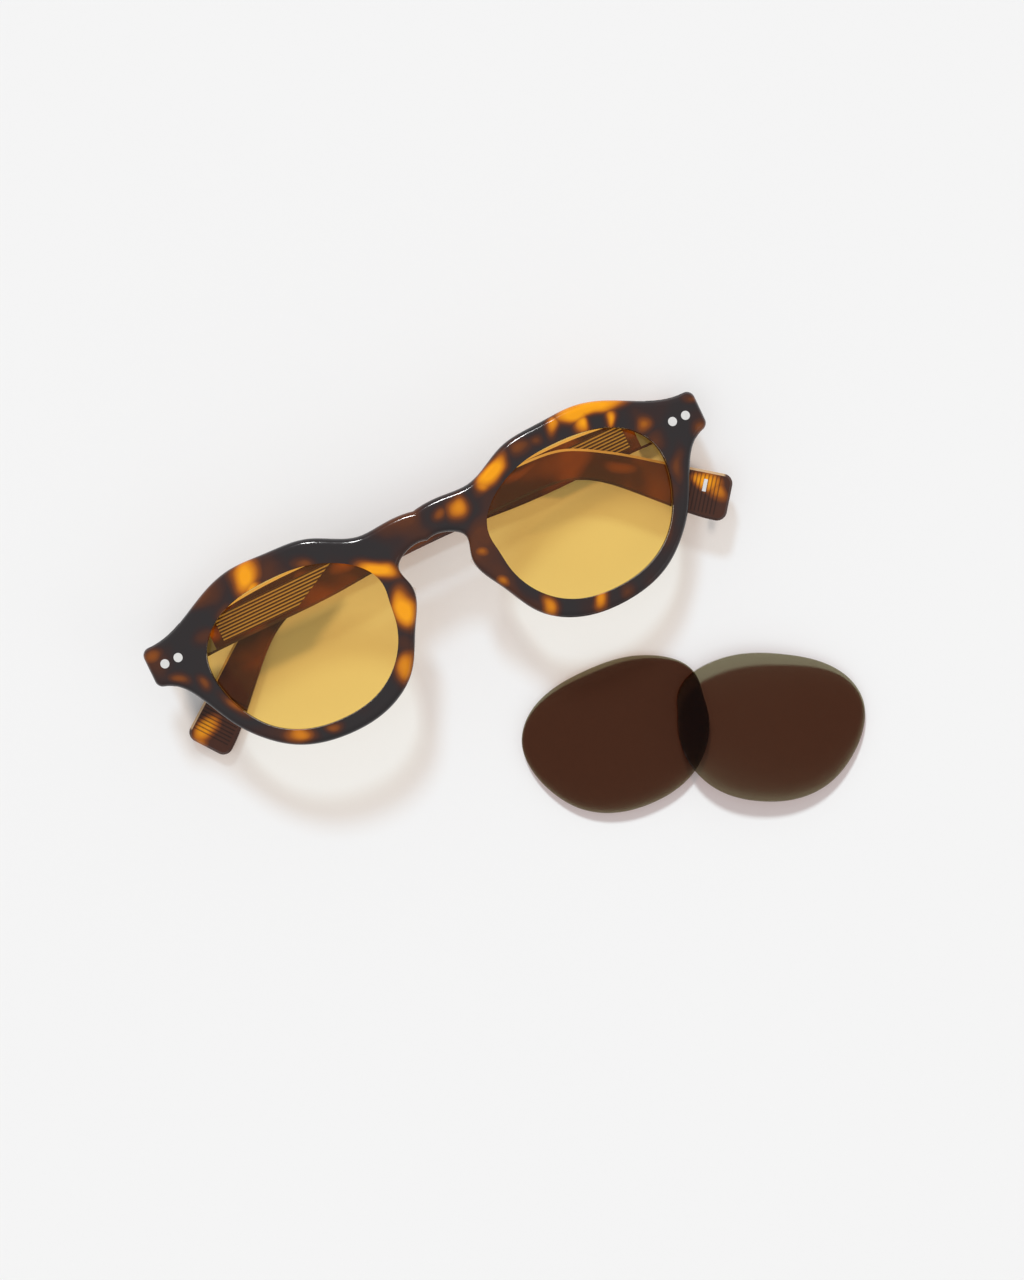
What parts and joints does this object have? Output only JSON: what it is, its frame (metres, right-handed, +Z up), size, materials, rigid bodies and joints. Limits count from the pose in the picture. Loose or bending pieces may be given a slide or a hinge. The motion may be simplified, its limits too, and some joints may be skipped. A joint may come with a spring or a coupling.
{
  "type": "sunglasses",
  "caption": "Tortoiseshell acetate sunglasses, folded, with amber lenses fitted and a loose pair of dark lenses beside them.",
  "frame": {"origin": "on the flat outer face of the lower (right) temple, under the bridge", "axes": "+Z up off the table, +X along the front from the left endpiece to the right one, +Y towards the brow"},
  "size_m": [0.1525, 0.1106, 0.0244],
  "materials": {
    "tortoiseshell": "polished tortoiseshell",
    "amber_lens": "polished, tinted",
    "dark_lens": "polished, tinted",
    "clear_pad": "clear, polished",
    "rivet_metal": "polished",
    "hinge_metal": "satin",
    "core_metal": "engraved, gilt"
  },
  "bodies": {
    "right_temple": {"temple_right": "tortoiseshell", "core_plate_right": "core_metal", "temple_hinge_right": "hinge_metal"},
    "front": {"front_frame": "tortoiseshell", "lens_left": "amber_lens", "lens_right": "amber_lens", "nose_pad_left": "clear_pad", "nose_pad_right": "clear_pad", "rivet_left_inner": "rivet_metal", "rivet_left_outer": "rivet_metal", "rivet_right_inner": "rivet_metal", "rivet_right_outer": "rivet_metal", "front_hinge_left": "hinge_metal", "front_hinge_right": "hinge_metal", "hinge_screw_left": "hinge_metal", "hinge_screw_right": "hinge_metal"},
    "left_temple": {"temple_left": "tortoiseshell", "core_plate_left": "core_metal", "temple_hinge_left": "hinge_metal", "tip_inlay": "rivet_metal"},
    "lower_dark_lens": {"dark_lens_left": "dark_lens"},
    "upper_dark_lens": {"dark_lens_right": "dark_lens"}
  },
  "joints": [
    {"name": "right_hinge", "type": "hinge", "parent": "right_temple", "child": "front", "pos_m": [0.066, -0.0032, 0.0057], "axis": [0, 1, 0], "range_deg": [0, 88]},
    {"name": "left_hinge", "type": "hinge", "parent": "front", "child": "left_temple", "pos_m": [-0.06582, -0.0032, 0.01261], "axis": [0, 1, 0], "range_deg": [0, 1]},
    {"name": "lower_dark_lens_lift", "type": "slide", "parent": "right_temple", "child": "lower_dark_lens", "axis": [0, 0, 1], "range_m": [0, 0.06]},
    {"name": "upper_dark_lens_lift", "type": "slide", "parent": "lower_dark_lens", "child": "upper_dark_lens", "axis": [0, 0, 1], "range_m": [0, 0.06]}
  ]
}
